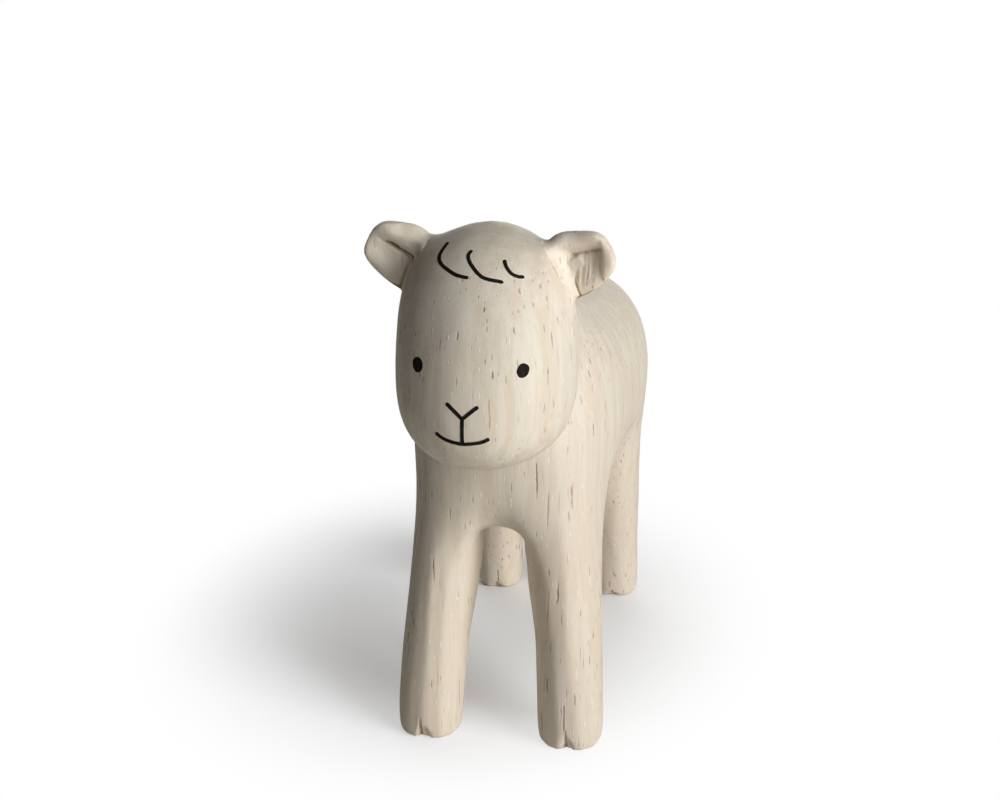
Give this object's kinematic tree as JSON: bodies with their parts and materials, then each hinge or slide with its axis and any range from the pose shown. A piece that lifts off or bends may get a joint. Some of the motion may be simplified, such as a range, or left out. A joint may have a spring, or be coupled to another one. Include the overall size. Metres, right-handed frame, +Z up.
{
  "type": "carved wooden goat kid figurine",
  "caption": "Small carved and sanded wooden kid goat standing on column legs, with leaf-shaped side ears, a stub tail and a painted face and forelock.",
  "frame": {"origin": "on the floor under the middle of the figure's bounding box", "axes": "the goat faces -Y, its own left side is at +X, and +Z is up"},
  "size_m": [0.0372, 0.0934, 0.0852],
  "materials": {
    "wood": "sanded, unfinished",
    "pin_wood": "turned, hidden inside the joints",
    "paint": "dull black paint"
  },
  "bodies": {
    "root": {"body": "wood", "head": "wood", "left_ear": "wood", "right_ear": "wood", "tail": "wood", "neck_dowel": "pin_wood", "left_ear_pin": "pin_wood", "right_ear_pin": "pin_wood", "tail_pin": "pin_wood", "left_eye": "paint", "right_eye": "paint", "nose_and_mouth": "paint", "forelock_stroke_left": "paint", "forelock_stroke_middle": "paint", "forelock_stroke_right": "paint"}
  },
  "joints": []
}
